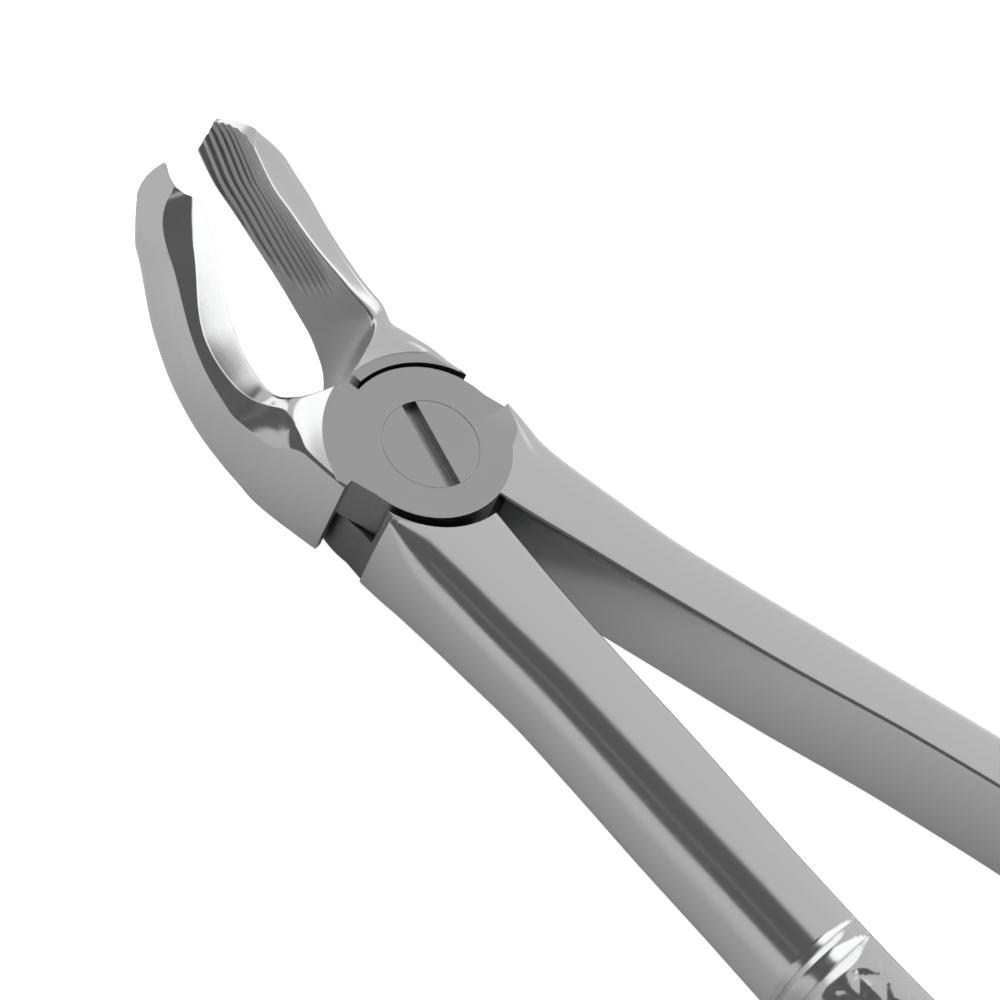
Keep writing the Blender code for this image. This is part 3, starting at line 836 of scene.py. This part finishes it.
def build_screw():
    """The pivot screw: end, shank and slotted head, flush with the joint's face."""
    head_z = FACE_Z - HEAD_THICKNESS
    profile = [
        (0, 0),
        (SCREW_END_RADIUS, 0),
        (SCREW_END_RADIUS, SHANK_START),
        (SHANK_RADIUS, SHANK_START),
        (SHANK_RADIUS, head_z),
        (HEAD_RADIUS, head_z),
        (HEAD_RADIUS, FACE_Z - HEAD_CHAMFER),
        (HEAD_RADIUS - HEAD_CHAMFER, FACE_Z),
        (0, FACE_Z),
    ]
    screw = turned("pivot_screw_visual", profile)
    place = Matrix.Translation((0, 0, FACE_Z)) @ Matrix.Rotation(SLOT_ANGLE, 4, "Z")
    half, end = SLOT_WIDTH / 2, 2 * HEAD_RADIUS
    corners = [(-end, -half), (end, -half), (end, half), (-end, half)]
    slot = prism("slot", corners, -SLOT_DEPTH, SLOT_DEPTH, place)
    return finished(combine(screw, ("DIFFERENCE", slot)), MILLED)


def finish_piece(obj, body, node):
    """Smooths a piece between its sharp edges and puts it in the frame, in place of its CAD node."""
    obj.data.shade_smooth()
    obj.data.set_sharp_from_angle(angle=math.radians(SHARP_ANGLE))
    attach(obj, body)
    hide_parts(node)


finish_piece(build_front(), "front", "front_half")
finish_piece(build_rear(), "rear", "rear_half")
finish_piece(build_screw(), "rear", "pivot_screw")


# ---------------------------------------------------------------- studio


class Sky:
    """The studio around the table, written as nodes of the direction looked in."""

    def __init__(self, tree):
        self.tree = tree
        direction = add_node(tree, "ShaderNodeTexCoord", {}).outputs["Generated"]
        self.height = add_node(tree, "ShaderNodeSeparateXYZ", {}, {"Vector": direction}).outputs["Z"]
        flat = add_node(tree, "ShaderNodeVectorMath", {1: (1, 1, 0)}, {0: direction})
        flat.operation = "MULTIPLY"
        level = add_node(tree, "ShaderNodeVectorMath", {}, {0: flat.outputs["Vector"]})
        level.operation = "NORMALIZE"
        self.level = level.outputs["Vector"]

    def step(self, value, low, high):
        """0 at low to 1 at high, with a soft start and end."""
        limits = {"From Min": low, "From Max": high}
        node = add_node(self.tree, "ShaderNodeMapRange", limits, {"Value": value})
        node.interpolation_type = "SMOOTHSTEP"
        return node.outputs["Result"]

    def times(self, first, second):
        """Where both masks are."""
        node = add_node(self.tree, "ShaderNodeMath", {}, {0: first, 1: second})
        node.operation = "MULTIPLY"
        return node.outputs["Value"]

    def above(self, low, high):
        """0 at the lower elevation to 1 at the higher, degrees."""
        return self.step(self.height, math.sin(math.radians(low)), math.sin(math.radians(high)))

    def below(self, low, high):
        """1 at the lower elevation to 0 at the higher, degrees."""
        return self.step(self.height, math.sin(math.radians(high)), math.sin(math.radians(low)))

    def sector(self, middle, half_width, soft):
        """1 within half_width degrees of an azimuth, 0 beyond half_width + soft."""
        angle = math.radians(middle)
        heading = (math.cos(angle), math.sin(angle), 0)
        node = add_node(self.tree, "ShaderNodeVectorMath", {1: heading}, {0: self.level})
        node.operation = "DOT_PRODUCT"
        cosines = [math.cos(math.radians(a)) for a in (half_width + soft, half_width)]
        return self.step(node.outputs["Value"], *cosines)

    def over(self, under, mask, brightness):
        """A brightness laid over what is there, where the mask is."""
        node = add_node(self.tree, "ShaderNodeMix", {"B": brightness}, {"Factor": mask, "A": under})
        node.data_type = "FLOAT"
        return node.outputs["Result"]


def build_room():
    """Pale walls and ceiling with soft areas of light and dark, and a plain backdrop for the camera."""
    world = bpy.data.worlds.new("studio")
    bpy.context.scene.world = world
    world.use_nodes = True
    tree = world.node_tree
    sky = Sky(tree)
    limits = {"From Min": CEILING_START, "From Max": 1.0, "To Min": WALL, "To Max": CEILING}
    light = add_node(tree, "ShaderNodeMapRange", limits, {"Value": sky.height}).outputs["Result"]
    for brightness, sector, rise, fall in AREAS:
        mask = sky.times(sky.sector(*sector), sky.below(*fall))
        if rise:
            mask = sky.times(mask, sky.above(*rise))
        light = sky.over(light, mask, brightness)
    path = add_node(tree, "ShaderNodeLightPath", {})
    light = sky.over(light, path.outputs["Is Camera Ray"], BACKDROP)
    background = tree.nodes["Background"]
    background.inputs["Color"].default_value = (1, 1, 1, 1)
    tree.links.new(light, background.inputs["Strength"])


def build_table():
    """The floor under the forceps: pale paper, lit evenly where the camera looks at it."""
    material = bpy.data.materials.new("floor_paper")
    material.use_nodes = True
    tree = material.node_tree
    shader = tree.nodes["Principled BSDF"]
    shader.inputs["Base Color"].default_value = (TABLE_SHADE, TABLE_SHADE, TABLE_SHADE, 1)
    shader.inputs["Roughness"].default_value = 0.9
    shader.inputs["Specular IOR Level"].default_value = 0.1
    shader.inputs["Emission Color"].default_value = (1, 1, 1, 1)
    path = add_node(tree, "ShaderNodeLightPath", {})
    limits = {"To Min": TABLE_GLOW, "To Max": TABLE_SEEN}
    glow = add_node(tree, "ShaderNodeMapRange", limits, {"Value": path.outputs["Is Camera Ray"]})
    tree.links.new(glow.outputs["Result"], shader.inputs["Emission Strength"])
    corners = [(-TABLE_REACH, -TABLE_REACH), (TABLE_REACH, -TABLE_REACH)]
    corners += [(TABLE_REACH, TABLE_REACH), (-TABLE_REACH, TABLE_REACH)]
    floor = prism("floor", corners, TABLE_TOP - TABLE_THICKNESS, TABLE_TOP)
    floor.data.materials.clear()
    floor.data.materials.append(material)


def build_camera():
    """A long lens at the photograph's viewing angle, as far off as makes its picture FIELD metres across."""
    up = VIEW_FROM.cross(VIEW_RIGHT)
    aim = Vector((0, 0, FACE_Z * MM)) + VIEW_RIGHT * AIM_RIGHT - up * AIM_BELOW
    data = bpy.data.cameras.new("camera")
    data.lens = LENS
    data.sensor_width = SENSOR
    data.clip_start = CLIP_START
    camera = bpy.data.objects.new("camera", data)
    bpy.context.scene.collection.objects.link(camera)
    pose = Matrix((VIEW_RIGHT, up, VIEW_FROM)).transposed().to_4x4()
    pose.translation = aim + VIEW_FROM * (FIELD * LENS / SENSOR)
    camera.matrix_world = pose
    bpy.context.scene.camera = camera


build_room()
build_table()
build_camera()
bpy.context.scene.view_settings.view_transform = "Standard"
